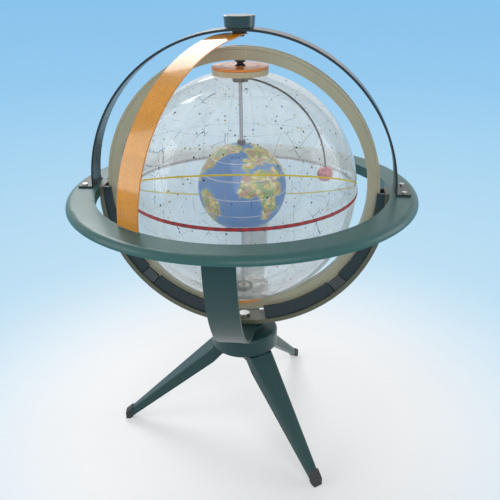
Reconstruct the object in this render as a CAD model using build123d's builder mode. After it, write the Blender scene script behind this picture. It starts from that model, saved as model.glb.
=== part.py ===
"""Transparent celestial globe on a tripod stand, in millimetres.

The origin is on the floor under the upright axis, +Z is up. The guide channel, the meridian ring and the
zenith arch lie in the XZ plane, and the yoke that carries them lies in the YZ plane.
"""

import os
from math import cos, hypot, radians, sin

from build123d import *

os.makedirs("parts", exist_ok=True)

# Driving dimensions: the globe
sphere_radius = 152.4
sphere_wall = 2.0
polar_neck_radius = 8.0
band_width = 4.4
band_thickness = 0.8

# Driving dimensions: the meridian ring
meridian_clearance = 13.6
meridian_depth = 16.0
meridian_thickness = 14.8
lip_width = 4.0
lip_height = 1.0
rim_groove_width = 7.0
rim_groove_depth = 1.6
seam_offset = 8.0

# Driving dimensions: the guide channel below the horizon
channel_clearance = 6.4
channel_thickness = 6.0
channel_edge = 2.5
channel_drop = 9.0
rail_overlap = 4.0
rail_thickness = 4.0
rail_start = 0.3
rail_end = 80.5
block_angle = 45.0
block_span = 6.0
rail_break = 7.0
block_lip = 2.0

# Driving dimensions: the horizon ring and its arch
ring_edge_round = 9.0
ring_wall = 3.0
ring_inner_depth = 14.0
arch_clearance = 3.0
arch_thickness = 3.0
arch_width = 31.0
foot_plate_length = 46.0
foot_plate_depth = 17.0
foot_plate_thickness = 2.5
foot_plate_margin = 2.0
foot_screw_margin = 6.0

# Driving dimensions: what turns on the polar axis
rod_radius = 2.5
bush_wall = 2.5
bush_flange = 2.0
bush_flange_thickness = 1.2
sleeve_wall = 1.9
dial_radius = 36.0
dial_thickness = 3.1
dial_edge = 0.6
collar_rise = 2.6
inner_nut_radius = 13.0
inner_nut_height = 3.0
knob_end_radius = 7.0
knob_waist_radius = 4.2
knob_lip = 0.9
earth_radius = 59.0
earth_wall = 1.6
earth_collar_radius = 5.5
earth_collar_height = 5.0
sun_radius = 10.5
sun_clearance = 41.5
sun_height = 16.0
sun_azimuth = 8.0
wire_radius = 1.3
wire_bow = 0.19
wire_root = 6.0
sun_hub_radius = 10.0
sun_hub_height = 8.0

# Driving dimensions: the altitude quadrant and its clamp
quadrant_setback = 1.5
quadrant_thickness = 1.5
quadrant_width = 36.0
quadrant_azimuth = 236.0
quadrant_rise = 1.0
quadrant_end_radius = 10.0
quadrant_shoulder = 26.0
clamp_screw_radius = 2.5
clamp_head_radius = 6.0
clamp_head_height = 2.5
clamp_knob_radius = 19.5
clamp_knob_taper = 1.0
clamp_knob_height = 14.0
clamp_washer_radius = 9.0

# Driving dimensions: the yoke, the hub and the legs
yoke_width = 38.0
yoke_thickness = 3.5
yoke_clearance = 1.3
yoke_tab_margin = 0.8
yoke_screw_margin = 8.0
leg_height = 132.0
hub_radius = 48.0
hub_height = 27.0
hub_round = 5.0
saddle_radius = 27.0
saddle_rise = 5.0
swivel_washer_margin = 2.0
swivel_washer_thickness = 1.5
bolt_radius = 4.0
bolt_head_radius = 8.0
bolt_head_height = 4.0
bolt_washer_radius = 9.5
bolt_washer_thickness = 1.6
nut_flats = 13.0
nut_height = 6.5
leg_root_width = 36.0
leg_tip_width = 10.0
leg_root_depth = 24.0
leg_tip_depth = 10.0
leg_reach = 181.0
leg_count = 3
leg_turn = 188.5
leg_pad_start = 13.5
leg_pad_thickness = 10.0
leg_screw_circle = 27.0
foot_cover = 10.0
foot_wall = 1.0

# Clearances and small parts
turn_gap = 0.3
slide_gap = 0.6
bore_gap = 0.08
seat_gap = 0.1
screw_radius = 1.6
screw_head_radius = 3.4
screw_head_height = 2.0
screw_bite = 2.0
edge_break = 0.6
soft_edge = 2.5

# Circles worked out from the globe outwards
sphere_inner_radius = sphere_radius - sphere_wall
meridian_inner_radius = sphere_radius + meridian_clearance
meridian_outer_radius = meridian_inner_radius + meridian_depth
rail_inner_radius = meridian_outer_radius - rail_overlap
channel_inner_radius = meridian_outer_radius + channel_clearance
channel_outer_radius = channel_inner_radius + channel_thickness
ring_bore_radius = channel_outer_radius + seat_gap
quadrant_inner_radius = ring_bore_radius + quadrant_setback
quadrant_outer_radius = quadrant_inner_radius + quadrant_thickness
arch_inner_radius = quadrant_outer_radius + arch_clearance
arch_outer_radius = arch_inner_radius + arch_thickness
ring_flat_radius = arch_outer_radius + foot_plate_depth + foot_plate_margin
ring_outer_radius = ring_flat_radius + ring_edge_round
yoke_inner_radius = channel_outer_radius + channel_drop + yoke_clearance
yoke_outer_radius = yoke_inner_radius + yoke_thickness

# Heights worked out from the floor upwards
hub_bottom = leg_height
hub_top = hub_bottom + hub_height
swivel_washer_top = hub_top + swivel_washer_thickness
horizon_height = swivel_washer_top + turn_gap + saddle_rise + yoke_outer_radius

# Places worked out from both
centre = (0, 0, horizon_height)
channel_centre = (0, 0, horizon_height - channel_drop)
front_view = Plane(origin=centre, x_dir=(1, 0, 0), z_dir=(0, -1, 0))
side_view = Plane(origin=centre, x_dir=(0, 1, 0), z_dir=(1, 0, 0))
lip_half = meridian_thickness / 2 + lip_height
rail_inside = lip_half + slide_gap
rail_outside = rail_inside + rail_thickness
channel_width = 2 * (rail_outside + channel_edge)
foot_screw_spacing = foot_plate_length - 2 * foot_screw_margin
yoke_screw_spacing = yoke_width - 2 * yoke_screw_margin
sleeve_radius = rod_radius + bore_gap + sleeve_wall
collar_radius = dial_radius - dial_edge
collar_top = sphere_radius + collar_rise
dial_bottom = collar_top + turn_gap
dial_top = dial_bottom + dial_thickness
knob_bottom = dial_top + turn_gap
bush_inner_end = meridian_inner_radius - bush_flange_thickness
knob_top = bush_inner_end - turn_gap
sun_reach = earth_radius + sun_clearance + sun_radius


def export(piece, label):
    piece.part.label = label
    export_step(piece.part, f"parts/{label}.step")


def wedge(start, end, side):
    """Corners of a wedge below the horizon, from one angle to another, on the left (-1) or the right (1)."""
    far = 2 * channel_outer_radius
    turns = (start, (start + end) / 2, end)
    return [(0, 0)] + [(side * far * cos(radians(turn)), -far * sin(radians(turn))) for turn in turns]


def channel_section(inner_radius):
    """Space between a circle round the globe and the floor of the guide channel, below the horizon."""
    with Locations((0, -channel_drop)):
        Circle(channel_inner_radius)
    with Locations((0, -channel_drop / 2)):
        Rectangle(2 * channel_inner_radius, channel_drop)
    Circle(inner_radius, mode=Mode.SUBTRACT)
    with Locations((0, channel_outer_radius / 2)):
        Rectangle(3 * channel_outer_radius, channel_outer_radius, mode=Mode.SUBTRACT)


# Legs, each a tapered bar that leaves a flat pad under the hub
leg_angles = [leg_turn + 360 / leg_count * index for index in range(leg_count)]
leg_knee = hub_radius - 1.0
leg_toe = leg_reach + leg_tip_depth / 2


def leg_side(grow, start):
    """Side outline of a leg, made larger all round by grow and cut off before start."""
    slope = (hub_bottom - leg_tip_depth) / (leg_toe - leg_knee)
    knee_bottom = hub_bottom - leg_root_depth
    bottom_slope = (knee_bottom - grow) / (leg_reach - leg_knee)
    if start > leg_knee:
        top = hub_bottom - slope * (start - leg_knee) + grow
        bottom = knee_bottom - bottom_slope * (start - leg_knee) - grow
        root = [(start, top), (start, bottom)]
    else:
        pad_bottom = hub_bottom - leg_pad_thickness
        root = [(leg_knee, hub_bottom), (start, hub_bottom), (start, pad_bottom)]
        root += [(leg_screw_circle + 2 * screw_head_radius, pad_bottom), (leg_knee, knee_bottom)]
    toe = [(leg_reach, foot_wall - grow), (leg_toe + grow, foot_wall - grow), (leg_toe + grow, leg_tip_depth + grow)]
    return root + toe


def leg_plan(grow, start):
    """Half widths of a leg seen from above, from start to its toe."""
    slope = (leg_root_width - leg_tip_width) / 2 / (leg_toe - leg_knee)
    toe_half = leg_tip_width / 2 + grow
    toe = leg_toe + grow
    if start > leg_knee:
        start_half = leg_root_width / 2 - slope * (start - leg_knee) + grow
        return [(start, start_half), (toe, toe_half), (toe, -toe_half), (start, -start_half)]
    half = leg_root_width / 2
    nose = half * 0.4
    return [
        (start, nose),
        (start + half - nose, half),
        (leg_knee, half),
        (toe, toe_half),
        (toe, -toe_half),
        (leg_knee, -half),
        (start + half - nose, -half),
        (start, -nose),
    ]


for index, angle in enumerate(leg_angles):
    outward = (cos(radians(angle)), sin(radians(angle)), 0)
    across = (sin(radians(angle)), -cos(radians(angle)), 0)
    upright = Plane(origin=(0, 0, 0), x_dir=outward, z_dir=across)
    level = Plane(origin=(0, 0, 0), x_dir=outward, z_dir=(0, 0, 1))

    with BuildPart() as leg:
        with BuildSketch(upright):
            with BuildLine():
                Polyline(*leg_side(0, leg_pad_start), close=True)
            make_face()
        extrude(amount=leg_root_width, both=True)
        with BuildSketch(level):
            with BuildLine():
                Polyline(*leg_plan(0, leg_pad_start), close=True)
            make_face()
        extrude(amount=horizon_height, mode=Mode.INTERSECT)
        long_edges = leg.edges().filter_by(lambda edge: edge.length > leg_reach / 2)
        fillet(long_edges.sort_by(Axis.Z)[-2:], radius=soft_edge)
        with Locations(level.offset(hub_bottom).location * Location((leg_screw_circle, 0, 0))):
            Hole(screw_radius + bore_gap, depth=leg_pad_thickness)
    export(leg, f"leg_{index + 1}")

    with BuildPart() as foot_tip:
        with BuildSketch(upright):
            with BuildLine():
                Polyline(*leg_side(foot_wall, leg_toe - foot_cover), close=True)
            make_face()
        extrude(amount=leg_root_width, both=True)
        with BuildSketch(level):
            with BuildLine():
                Polyline(*leg_plan(foot_wall, leg_toe - foot_cover), close=True)
            make_face()
        extrude(amount=horizon_height, mode=Mode.INTERSECT)
        add(leg.part, mode=Mode.SUBTRACT)
    export(foot_tip, f"foot_tip_{index + 1}")

# Round hub that covers the leg roots, with the bore for the pivot bolt
with BuildPart() as hub_drum:
    with BuildSketch(Plane.XY.offset(hub_bottom)):
        Circle(hub_radius)
    extrude(amount=hub_height)
    fillet(hub_drum.faces().sort_by(Axis.Z)[-1].edges(), radius=hub_round)
    chamfer(hub_drum.faces().sort_by(Axis.Z)[0].edges(), length=soft_edge)
    with Locations((0, 0, hub_top)):
        Hole(bolt_radius + bore_gap)
    with BuildSketch(Plane.XY.offset(hub_bottom)):
        with PolarLocations(leg_screw_circle, leg_count, start_angle=leg_turn):
            Circle(screw_radius)
    extrude(amount=hub_height / 2, mode=Mode.SUBTRACT)
export(hub_drum, "hub_drum")

with BuildPart() as leg_screws:
    with BuildSketch(Plane.XY.offset(hub_bottom - leg_pad_thickness)):
        with PolarLocations(leg_screw_circle, leg_count, start_angle=leg_turn):
            Circle(screw_head_radius)
    extrude(amount=-screw_head_height)
    with BuildSketch(Plane.XY.offset(hub_bottom - leg_pad_thickness)):
        with PolarLocations(leg_screw_circle, leg_count, start_angle=leg_turn):
            Circle(screw_radius)
    extrude(amount=leg_pad_thickness + hub_height / 2)
export(leg_screws, "leg_screws")

# Swivel stack: washer on the hub, saddle under the yoke, and the bolt that holds them
with BuildPart() as swivel_washer:
    with BuildSketch(Plane.XY.offset(hub_top)):
        Circle(saddle_radius + swivel_washer_margin)
        Circle(bolt_radius + bore_gap, mode=Mode.SUBTRACT)
    extrude(amount=swivel_washer_thickness)
export(swivel_washer, "swivel_washer")

with BuildPart() as yoke_saddle:
    with BuildSketch(Plane.XY.offset(swivel_washer_top + turn_gap)):
        Circle(saddle_radius)
        Circle(bolt_radius, mode=Mode.SUBTRACT)
    extrude(amount=2 * saddle_rise)
    with BuildSketch(side_view):
        Circle(yoke_outer_radius)
    extrude(amount=saddle_radius + 1, both=True, mode=Mode.SUBTRACT)
export(yoke_saddle, "yoke_saddle")

nadir_floor = horizon_height - channel_drop - channel_inner_radius
bolt_length = nadir_floor - hub_bottom + bolt_washer_thickness + nut_height + turn_gap
with BuildPart() as pivot_bolt:
    with BuildSketch(Plane.XY.offset(nadir_floor)):
        Circle(bolt_radius)
    extrude(amount=-bolt_length)
    with BuildSketch(Plane.XY.offset(nadir_floor)):
        Circle(bolt_head_radius)
    extrude(amount=bolt_head_height)
    chamfer(pivot_bolt.faces().sort_by(Axis.Z)[-1].edges(), length=edge_break)
export(pivot_bolt, "pivot_bolt")

with BuildPart() as nadir_spacer:
    with BuildSketch(Plane.XY.offset(horizon_height - yoke_inner_radius)):
        Circle(bolt_head_radius)
        Circle(bolt_radius, mode=Mode.SUBTRACT)
    extrude(amount=2 * yoke_clearance)
    with BuildSketch(side_view):
        Circle(yoke_inner_radius)
    extrude(amount=yoke_width, both=True, mode=Mode.INTERSECT)
    with BuildSketch(front_view):
        with Locations((0, -channel_drop)):
            Circle(channel_outer_radius)
    extrude(amount=channel_width, both=True, mode=Mode.SUBTRACT)
export(nadir_spacer, "nadir_spacer")

washer_top = hub_bottom - turn_gap
with BuildPart() as nut_washer:
    with BuildSketch(Plane.XY.offset(washer_top)):
        Circle(bolt_washer_radius)
        Circle(bolt_radius, mode=Mode.SUBTRACT)
    extrude(amount=-bolt_washer_thickness)
export(nut_washer, "nut_washer")

with BuildPart() as pivot_nut:
    with BuildSketch(Plane.XY.offset(washer_top - bolt_washer_thickness)):
        RegularPolygon(nut_flats / 2, 6, major_radius=False)
        Circle(bolt_radius, mode=Mode.SUBTRACT)
    extrude(amount=-nut_height)
export(pivot_nut, "pivot_nut")

# Yoke, a half hoop under the horizon ring with a bent tab at each end
tab_top = -ring_wall
tab_end = ring_flat_radius - yoke_tab_margin
with BuildPart() as yoke:
    with BuildSketch(side_view):
        Circle(yoke_outer_radius)
        Circle(yoke_inner_radius, mode=Mode.SUBTRACT)
        with Locations((0, yoke_outer_radius + tab_top)):
            Rectangle(3 * yoke_outer_radius, 2 * yoke_outer_radius, mode=Mode.SUBTRACT)
        for side in (-1, 1):
            with Locations((side * (yoke_inner_radius + tab_end) / 2, tab_top - yoke_thickness / 2)):
                Rectangle(tab_end - yoke_inner_radius, yoke_thickness)
    extrude(amount=yoke_width / 2, both=True)
    with Locations((0, 0, horizon_height - yoke_inner_radius)):
        Hole(bolt_radius, depth=2 * yoke_thickness)
    tab_screw_y = (yoke_outer_radius + tab_end) / 2
    with Locations((0, 0, horizon_height + tab_top)):
        with GridLocations(yoke_screw_spacing, 2 * tab_screw_y, 2, 2):
            Hole(screw_radius, depth=yoke_thickness)
export(yoke, "yoke")

with BuildPart() as yoke_screws:
    tab_bottom = horizon_height + tab_top - yoke_thickness
    with BuildSketch(Plane.XY.offset(tab_bottom)):
        with GridLocations(yoke_screw_spacing, 2 * tab_screw_y, 2, 2):
            Circle(screw_head_radius)
    extrude(amount=-screw_head_height)
    with BuildSketch(Plane.XY.offset(tab_bottom)):
        with GridLocations(yoke_screw_spacing, 2 * tab_screw_y, 2, 2):
            Circle(screw_radius)
    extrude(amount=yoke_thickness + screw_bite)
export(yoke_screws, "yoke_screws")

# Horizon ring, an inverted channel with a bullnose outer edge
foot_screw_x = arch_outer_radius + foot_plate_depth / 2
skirt_bottom = -ring_edge_round
with BuildPart() as horizon_ring:
    with BuildSketch(front_view):
        with BuildLine():
            Line((ring_bore_radius, 0), (ring_flat_radius, 0))
            RadiusArc((ring_flat_radius, 0), (ring_outer_radius, skirt_bottom), ring_edge_round)
            Line((ring_outer_radius, skirt_bottom), (ring_outer_radius - ring_wall, skirt_bottom))
            RadiusArc(
                (ring_outer_radius - ring_wall, skirt_bottom),
                (ring_flat_radius, -ring_wall),
                -(ring_edge_round - ring_wall),
            )
            Line((ring_flat_radius, -ring_wall), (ring_bore_radius + ring_wall, -ring_wall))
            Line((ring_bore_radius + ring_wall, -ring_wall), (ring_bore_radius + ring_wall, -ring_inner_depth))
            Line((ring_bore_radius + ring_wall, -ring_inner_depth), (ring_bore_radius, -ring_inner_depth))
            Line((ring_bore_radius, -ring_inner_depth), (ring_bore_radius, 0))
        make_face()
    revolve(axis=Axis.Z)
    with Locations((0, 0, horizon_height)):
        with GridLocations(2 * foot_screw_x, foot_screw_spacing, 2, 2):
            Hole(screw_radius, depth=screw_bite)
    with Locations(Plane(origin=(0, 0, horizon_height - ring_wall), z_dir=(0, 0, -1))):
        with GridLocations(yoke_screw_spacing, 2 * tab_screw_y, 2, 2):
            Hole(screw_radius, depth=screw_bite)
    with BuildSketch(Plane(origin=channel_centre, x_dir=(0, 1, 0), z_dir=(1, 0, 0))):
        Circle(screw_radius)
    extrude(amount=ring_bore_radius + ring_wall, both=True, mode=Mode.SUBTRACT)
export(horizon_ring, "horizon_ring")

# Guide channel: the curved floor, its rails and the blocks that the meridian ring rests on
slants = [(side * cos(radians(block_angle)), 0, -sin(radians(block_angle))) for side in (-1, 1)]
with BuildPart() as channel_floor_band:
    with BuildSketch(front_view):
        with Locations((0, -channel_drop)):
            Circle(channel_outer_radius)
        with Locations((0, -channel_drop / 2)):
            Rectangle(2 * channel_outer_radius, channel_drop)
        with Locations((0, -channel_drop)):
            Circle(channel_inner_radius, mode=Mode.SUBTRACT)
        with Locations((0, channel_inner_radius / 2 - channel_drop)):
            Rectangle(2 * channel_inner_radius, channel_inner_radius, mode=Mode.SUBTRACT)
        with Locations((0, channel_outer_radius / 2)):
            Rectangle(3 * channel_outer_radius, channel_outer_radius, mode=Mode.SUBTRACT)
    extrude(amount=channel_width / 2, both=True)
    with BuildSketch(Plane.XY.offset(horizon_height)):
        Circle(channel_outer_radius)
    extrude(amount=-2 * channel_outer_radius, mode=Mode.INTERSECT)
    with Locations((0, 0, nadir_floor)):
        Hole(bolt_radius, depth=2 * channel_thickness)
    with BuildSketch(Plane.XY.offset(nadir_floor)):
        Circle(bolt_head_radius + turn_gap)
    extrude(amount=bolt_head_height, mode=Mode.SUBTRACT)
    for slant in [(1, 0, 0), (-1, 0, 0)] + slants:
        with BuildSketch(Plane(origin=channel_centre, x_dir=(0, 1, 0), z_dir=slant)):
            Circle(screw_radius)
        extrude(amount=2 * channel_outer_radius, mode=Mode.SUBTRACT)
export(channel_floor_band, "channel_floor")

with BuildPart() as channel_screws:
    for side in (-1, 1):
        across = Plane(origin=channel_centre, x_dir=(0, 1, 0), z_dir=(side, 0, 0))
        with BuildSketch(across.offset(channel_inner_radius)):
            Circle(screw_radius)
        extrude(amount=ring_bore_radius + ring_wall - channel_inner_radius)
        with BuildSketch(across.offset(ring_bore_radius + ring_wall)):
            Circle(screw_head_radius)
        extrude(amount=screw_head_height)
export(channel_screws, "channel_screws")

for label, facing in (("front_rails", 1), ("back_rails", -1)):
    with BuildPart() as rails:
        for start, end in ((rail_start, block_angle - rail_break / 2), (block_angle + rail_break / 2, rail_end)):
            for side in (-1, 1):
                with BuildSketch(front_view.offset(facing * rail_inside)):
                    channel_section(rail_inner_radius)
                    with BuildLine():
                        Polyline(*wedge(start, end, side), close=True)
                    make_face(mode=Mode.INTERSECT)
                extrude(amount=facing * rail_thickness)
    export(rails, label)

block_screw_end = channel_inner_radius - 3 * screw_bite
for label, side, slant in (("support_block_left", -1, slants[0]), ("support_block_right", 1, slants[1])):
    with BuildPart() as support_block:
        with BuildSketch(front_view):
            channel_section(meridian_outer_radius - block_lip)
            with BuildLine():
                Polyline(*wedge(block_angle - block_span / 2, block_angle + block_span / 2, side), close=True)
            make_face(mode=Mode.INTERSECT)
        extrude(amount=rail_outside, both=True)
        with BuildSketch(front_view):
            Circle(meridian_outer_radius + turn_gap)
        extrude(amount=rail_inside, both=True, mode=Mode.SUBTRACT)
        with BuildSketch(Plane(origin=channel_centre, x_dir=(0, 1, 0), z_dir=slant).offset(block_screw_end)):
            Circle(screw_radius)
        extrude(amount=channel_outer_radius, mode=Mode.SUBTRACT)
    export(support_block, label)

with BuildPart() as block_screws:
    for slant in slants:
        across = Plane(origin=channel_centre, x_dir=(0, 1, 0), z_dir=slant)
        with BuildSketch(across.offset(block_screw_end)):
            Circle(screw_radius)
        extrude(amount=channel_outer_radius - block_screw_end)
        with BuildSketch(across.offset(channel_outer_radius)):
            Circle(screw_head_radius)
        extrude(amount=screw_head_height)
export(block_screws, "block_screws")

# Zenith arch, a bent strap with a screwed foot at each end
with BuildPart() as zenith_arch:
    with BuildSketch(front_view):
        Circle(arch_outer_radius)
        Circle(arch_inner_radius, mode=Mode.SUBTRACT)
        with Locations((0, -arch_outer_radius / 2)):
            Rectangle(3 * arch_outer_radius, arch_outer_radius, mode=Mode.SUBTRACT)
    extrude(amount=arch_width / 2, both=True)
    with BuildSketch(Plane.XY.offset(horizon_height)):
        for side in (-1, 1):
            with Locations((side * (arch_outer_radius + (foot_plate_depth - arch_thickness) / 2), 0)):
                RectangleRounded(foot_plate_depth + arch_thickness, foot_plate_length, soft_edge)
    extrude(amount=foot_plate_thickness)
    with Locations((0, 0, horizon_height + arch_outer_radius)):
        Hole(clamp_screw_radius, depth=2 * arch_thickness)
    with Locations((0, 0, horizon_height + foot_plate_thickness)):
        with GridLocations(2 * foot_screw_x, foot_screw_spacing, 2, 2):
            Hole(screw_radius, depth=foot_plate_thickness)
export(zenith_arch, "zenith_arch")

with BuildPart() as arch_screws:
    with BuildSketch(Plane.XY.offset(horizon_height + foot_plate_thickness)):
        with GridLocations(2 * foot_screw_x, foot_screw_spacing, 2, 2):
            Circle(screw_head_radius)
    extrude(amount=screw_head_height)
    with BuildSketch(Plane.XY.offset(horizon_height + foot_plate_thickness)):
        with GridLocations(2 * foot_screw_x, foot_screw_spacing, 2, 2):
            Circle(screw_radius)
    extrude(amount=-(foot_plate_thickness + screw_bite))
export(arch_screws, "arch_screws")

# Zenith pivot: screw, washer and knob on the arch, and the altitude quadrant that hangs from them
screw_seat = horizon_height + quadrant_inner_radius - turn_gap
screw_top = horizon_height + arch_outer_radius + clamp_knob_height - clamp_head_height
with BuildPart() as zenith_screw:
    with BuildSketch(Plane.XY.offset(screw_seat)):
        Circle(clamp_head_radius)
    extrude(amount=-clamp_head_height)
    chamfer(zenith_screw.faces().sort_by(Axis.Z)[0].edges(), length=edge_break)
    with BuildSketch(Plane.XY.offset(screw_seat)):
        Circle(clamp_screw_radius)
    extrude(amount=screw_top - screw_seat)
export(zenith_screw, "zenith_screw")

with BuildPart() as zenith_washer:
    with BuildSketch(Plane.XY.offset(horizon_height + quadrant_outer_radius + turn_gap)):
        Circle(clamp_washer_radius)
        Circle(clamp_screw_radius, mode=Mode.SUBTRACT)
    extrude(amount=arch_clearance)
    with BuildSketch(front_view):
        Circle(arch_inner_radius)
    extrude(amount=arch_width, both=True, mode=Mode.INTERSECT)
export(zenith_washer, "zenith_washer")

knob_seat = horizon_height + arch_outer_radius + turn_gap
knob_crown = knob_seat + clamp_knob_height
knob_base_radius = clamp_knob_radius - clamp_knob_taper
knob_bore_radius = clamp_screw_radius + bore_gap
with BuildPart() as zenith_knob:
    with BuildSketch(Plane.XZ):
        with BuildLine():
            Polyline(
                (knob_bore_radius, knob_seat),
                (knob_base_radius - edge_break, knob_seat),
                (knob_base_radius, knob_seat + edge_break),
                (clamp_knob_radius, knob_crown - edge_break),
                (clamp_knob_radius - edge_break, knob_crown),
                (0, knob_crown),
                (0, screw_top + turn_gap),
                (knob_bore_radius, screw_top + turn_gap),
                close=True,
            )
        make_face()
    revolve(axis=Axis.Z)
export(zenith_knob, "zenith_knob")

quadrant_heading = (cos(radians(quadrant_azimuth)), sin(radians(quadrant_azimuth)), 0)
quadrant_across = (sin(radians(quadrant_azimuth)), -cos(radians(quadrant_azimuth)), 0)
with BuildPart() as altitude_quadrant:
    with BuildSketch(Plane(origin=centre, x_dir=quadrant_heading, z_dir=quadrant_across)):
        Circle(quadrant_outer_radius)
        Circle(quadrant_inner_radius, mode=Mode.SUBTRACT)
        with Locations((quadrant_outer_radius - 2 * quadrant_end_radius, quadrant_outer_radius + quadrant_rise)):
            Rectangle(2 * quadrant_outer_radius, 2 * quadrant_outer_radius, mode=Mode.INTERSECT)
    extrude(amount=quadrant_width / 2, both=True)
    with BuildSketch(Plane(origin=centre, x_dir=quadrant_heading, z_dir=(0, 0, 1))):
        with BuildLine():
            Polyline(
                (0, quadrant_end_radius),
                (quadrant_shoulder, quadrant_width / 2),
                (2 * quadrant_outer_radius, quadrant_width / 2),
                (2 * quadrant_outer_radius, -quadrant_width / 2),
                (quadrant_shoulder, -quadrant_width / 2),
                (0, -quadrant_end_radius),
                close=True,
            )
        make_face()
        Circle(quadrant_end_radius)
    extrude(amount=2 * quadrant_outer_radius, mode=Mode.INTERSECT)
    with Locations((0, 0, horizon_height + quadrant_outer_radius)):
        Hole(clamp_screw_radius + bore_gap, depth=2 * quadrant_thickness)
export(altitude_quadrant, "altitude_quadrant")

# Meridian ring in two halves, with a raised lip at the rim and a groove round it
half_section = [
    (meridian_thickness / 2, meridian_inner_radius),
    (meridian_thickness / 2, meridian_outer_radius - lip_width),
    (lip_half, meridian_outer_radius - lip_width + lip_height),
    (lip_half, meridian_outer_radius),
    (rim_groove_width / 2, meridian_outer_radius),
    (rim_groove_width / 2, meridian_outer_radius - rim_groove_depth),
]
ring_section = half_section + [(-across, out) for across, out in reversed(half_section)]
bush_radius = rod_radius + bore_gap + bush_wall
for label, side in (("meridian_ring_left", 1), ("meridian_ring_right", -1)):
    with BuildPart() as meridian_ring:
        with BuildSketch(side_view):
            with BuildLine():
                Polyline(*ring_section, close=True)
            make_face()
        revolve(axis=Axis(centre, (0, 1, 0)))
        with BuildSketch(side_view.offset(seam_offset)):
            Rectangle(3 * meridian_outer_radius, 3 * meridian_outer_radius)
        extrude(amount=side * 3 * meridian_outer_radius, mode=Mode.SUBTRACT)
        with BuildSketch(Plane.XY.offset(horizon_height)):
            Circle(bush_radius)
        extrude(amount=2 * meridian_outer_radius, both=True, mode=Mode.SUBTRACT)
    export(meridian_ring, label)

# Everything on the polar axis, built once for each pole
poles = {
    "north": Plane(origin=centre, x_dir=(1, 0, 0), z_dir=(0, 0, 1)),
    "south": Plane(origin=centre, x_dir=(1, 0, 0), z_dir=(0, 0, -1)),
}
shaft_radius = {"north": sleeve_radius, "south": rod_radius}
knob_bore = {"north": rod_radius + bore_gap, "south": rod_radius}
neck_end = sphere_inner_radius - inner_nut_height
bush_end = meridian_outer_radius - rim_groove_depth - edge_break
rod_end = bush_end - edge_break
for label, pole in poles.items():
    turning_bore = shaft_radius[label] + bore_gap
    upright_axis = Axis(centre, tuple(pole.z_dir))

    with BuildPart() as bush:
        with BuildSketch(pole.offset(bush_inner_end)):
            Circle(bush_radius + bush_flange)
        extrude(amount=2 * bush_flange_thickness)
        with BuildSketch(front_view):
            Circle(meridian_inner_radius)
        extrude(amount=meridian_thickness, both=True, mode=Mode.INTERSECT)
        with BuildSketch(pole.offset(bush_inner_end)):
            Circle(bush_radius)
        extrude(amount=bush_end - bush_inner_end)
        with BuildSketch(pole.offset(bush_inner_end)):
            Circle(rod_radius + bore_gap)
        extrude(amount=bush_end - bush_inner_end, mode=Mode.SUBTRACT)
    export(bush, f"{label}_bush")

    with BuildPart() as knob:
        with BuildSketch(Plane(origin=centre, x_dir=(1, 0, 0), z_dir=(0, -pole.z_dir.Z, 0))):
            with BuildLine():
                Polyline(
                    (knob_bore[label], knob_bottom),
                    (knob_end_radius, knob_bottom),
                    (knob_end_radius, knob_bottom + knob_lip),
                    (knob_waist_radius, (knob_bottom + knob_top) / 2 - knob_lip / 2),
                    (knob_waist_radius, (knob_bottom + knob_top) / 2 + knob_lip / 2),
                    (knob_end_radius, knob_top - knob_lip),
                    (knob_end_radius, knob_top),
                    (knob_bore[label], knob_top),
                    close=True,
                )
            make_face()
        revolve(axis=upright_axis)
    export(knob, f"{label}_knob")

    with BuildPart() as hour_dial:
        with BuildSketch(Plane(origin=centre, x_dir=(1, 0, 0), z_dir=(0, -pole.z_dir.Z, 0))):
            with BuildLine():
                Polyline(
                    (turning_bore, dial_bottom),
                    (collar_radius, dial_bottom),
                    (dial_radius, dial_bottom + dial_edge),
                    (dial_radius, dial_top - dial_edge),
                    (collar_radius, dial_top),
                    (turning_bore, dial_top),
                    close=True,
                )
            make_face()
        revolve(axis=upright_axis)
    export(hour_dial, f"{label}_hour_dial")

    with BuildPart() as polar_collar:
        with BuildSketch(pole.offset(collar_top - collar_radius)):
            Circle(collar_radius)
        extrude(amount=collar_radius)
        with Locations(centre):
            Sphere(sphere_radius + seat_gap, mode=Mode.SUBTRACT)
        with BuildSketch(pole.offset(neck_end)):
            Circle(polar_neck_radius)
        extrude(amount=collar_top - neck_end)
        with BuildSketch(pole.offset(neck_end)):
            Circle(turning_bore)
        extrude(amount=collar_top - neck_end, mode=Mode.SUBTRACT)
    export(polar_collar, f"{label}_collar")

    with BuildPart() as inner_nut:
        with BuildSketch(pole.offset(neck_end)):
            Circle(inner_nut_radius)
        extrude(amount=collar_top - neck_end)
        with Locations(centre):
            Sphere(sphere_inner_radius - seat_gap, mode=Mode.INTERSECT)
        with BuildSketch(pole.offset(neck_end)):
            Circle(polar_neck_radius)
        extrude(amount=collar_top - neck_end, mode=Mode.SUBTRACT)
    export(inner_nut, f"{label}_inner_nut")

    for name, radius, wall, hole in (
        ("hemisphere", sphere_radius, sphere_wall, polar_neck_radius),
        ("earth_half", earth_radius, earth_wall, rod_radius),
    ):
        with BuildPart() as half_ball:
            with BuildSketch(Plane(origin=centre, x_dir=(1, 0, 0), z_dir=(0, -pole.z_dir.Z, 0))):
                Circle(radius)
                Circle(radius - wall, mode=Mode.SUBTRACT)
                with Locations((radius / 2, radius / 2)):
                    Rectangle(radius, radius, mode=Mode.INTERSECT)
                with Locations((0, radius)):
                    Rectangle(2 * hole, radius, mode=Mode.SUBTRACT)
            revolve(axis=upright_axis)
        export(half_ball, f"{label}_{name}")

with BuildPart() as equator_band:
    with BuildSketch(Plane.XY.offset(horizon_height)):
        Circle(sphere_radius + band_thickness)
        Circle(sphere_radius, mode=Mode.SUBTRACT)
    extrude(amount=band_width / 2, both=True)
export(equator_band, "equator_band")

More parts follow.
